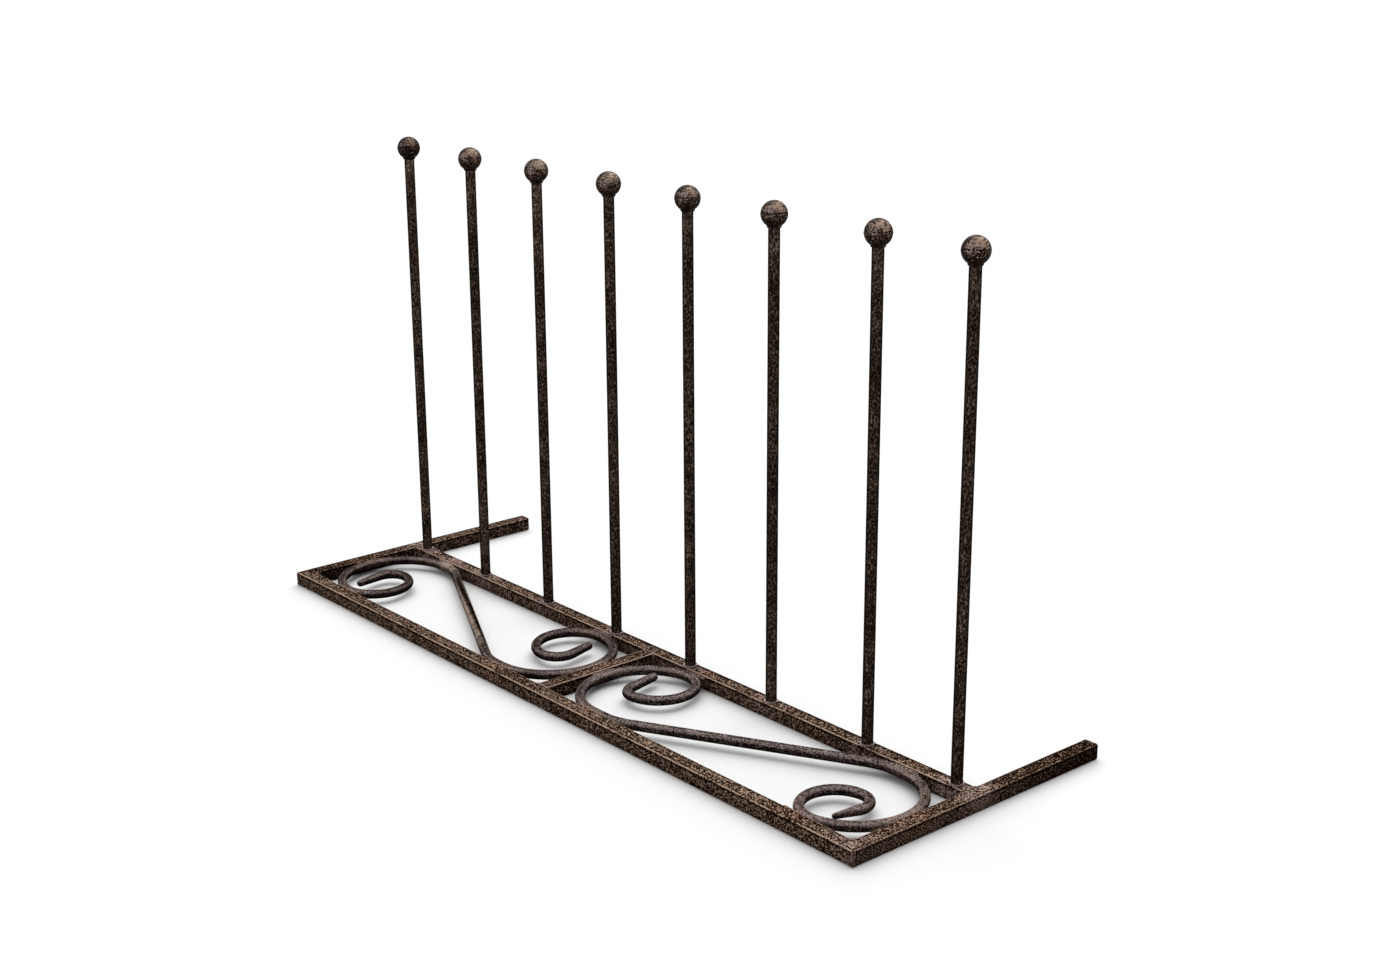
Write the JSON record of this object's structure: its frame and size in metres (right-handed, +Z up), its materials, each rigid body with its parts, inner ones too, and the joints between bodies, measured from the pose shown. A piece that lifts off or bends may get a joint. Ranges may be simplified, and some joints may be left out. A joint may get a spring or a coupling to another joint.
{
  "type": "boot rack",
  "caption": "Free-standing metal boot rack: ball-topped uprights on a low square-tube frame with scrolled bays, for boots stored upside down.",
  "frame": {"origin": "on the floor, at the middle of the rack's width and depth, under the row of uprights", "axes": "+X to the right along the rack as seen from the front, +Y to the rear, +Z up"},
  "size_m": [0.9, 0.316, 0.5],
  "materials": {
    "frame_bronze": "antique bronze powder coat, near-black brown with copper speckles and worn edges",
    "scroll_bronze": "the same coat on round rod, smoother and greyer",
    "upright_bronze": "the same coat on round tube, darker with fine speckles",
    "ball_bronze": "the same coat on pressed balls, dark with rubbed copper highlights",
    "insert_bronze": "coated steel flange, rubbed lighter on its rim",
    "stud_steel": "plain zinc-plated stud, hidden inside"
  },
  "bodies": {
    "root": {"front_rail": "frame_bronze", "back_rail": "frame_bronze", "centre_bar": "frame_bronze", "left_side_bar": "frame_bronze", "right_side_bar": "frame_bronze", "left_end_cap": "frame_bronze", "right_end_cap": "frame_bronze", "left_scroll": "scroll_bronze", "right_scroll": "scroll_bronze", "rail_inserts": "insert_bronze", "upright_studs": "stud_steel", "upright_1": "upright_bronze", "upright_2": "upright_bronze", "upright_3": "upright_bronze", "upright_4": "upright_bronze", "upright_5": "upright_bronze", "upright_6": "upright_bronze", "upright_7": "upright_bronze", "upright_8": "upright_bronze", "finial_1": "ball_bronze", "finial_2": "ball_bronze", "finial_3": "ball_bronze", "finial_4": "ball_bronze", "finial_5": "ball_bronze", "finial_6": "ball_bronze", "finial_7": "ball_bronze", "finial_8": "ball_bronze"}
  },
  "joints": []
}
